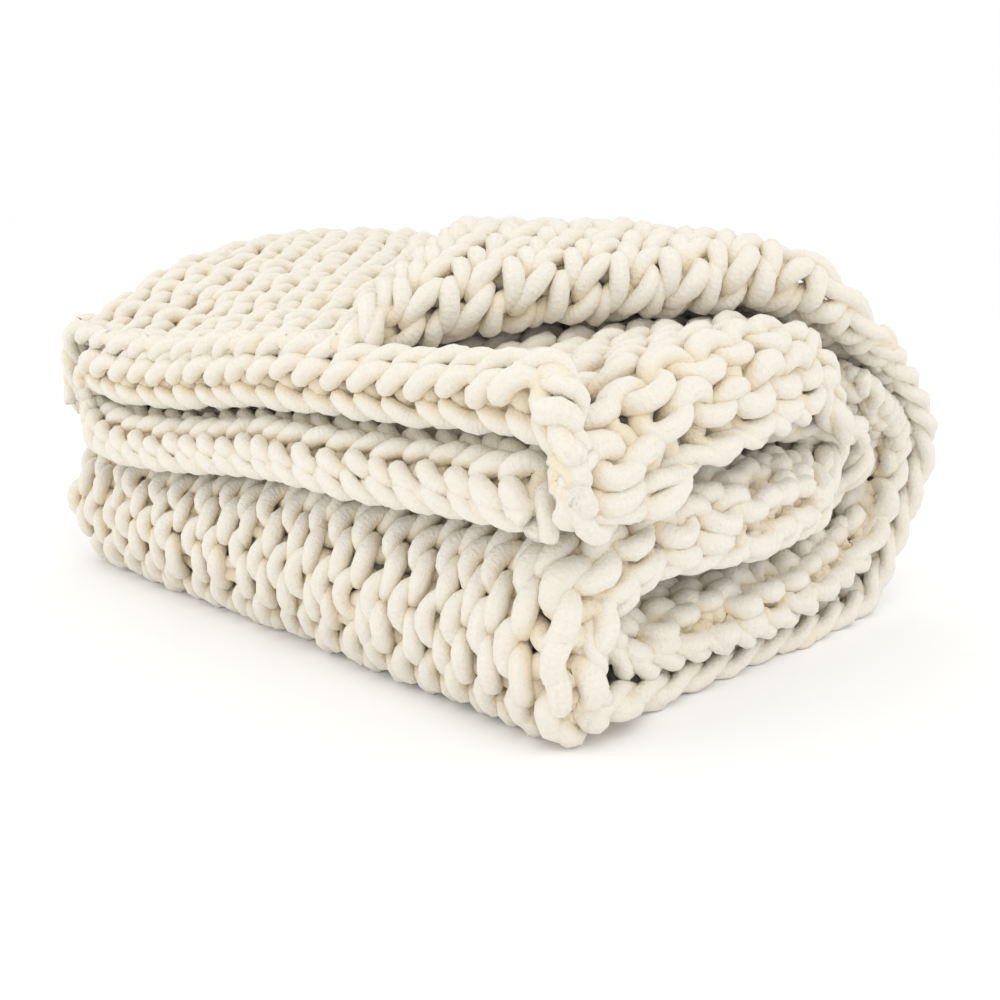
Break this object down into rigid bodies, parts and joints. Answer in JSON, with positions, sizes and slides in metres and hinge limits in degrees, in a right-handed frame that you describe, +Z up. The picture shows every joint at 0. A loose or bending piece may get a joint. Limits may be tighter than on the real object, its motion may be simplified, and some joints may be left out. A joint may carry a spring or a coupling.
{
  "type": "chunky knit blanket",
  "caption": "Folded chunky knit blanket: one sheet of thick chenille knit, doubled and folded back and forth, with a corner turned back over the top.",
  "frame": {"origin": "under the middle of the folded blanket, on the surface it lies on", "axes": "+X along the stack from the joined left end to the open right end, +Y from the front folds and free edges to the back, +Z up"},
  "size_m": [0.6464, 0.4924, 0.3228],
  "materials": {
    "chenille": "matte velvety chenille yarn, warm cream"
  },
  "bodies": {
    "root": {"blanket": "chenille"}
  },
  "joints": []
}
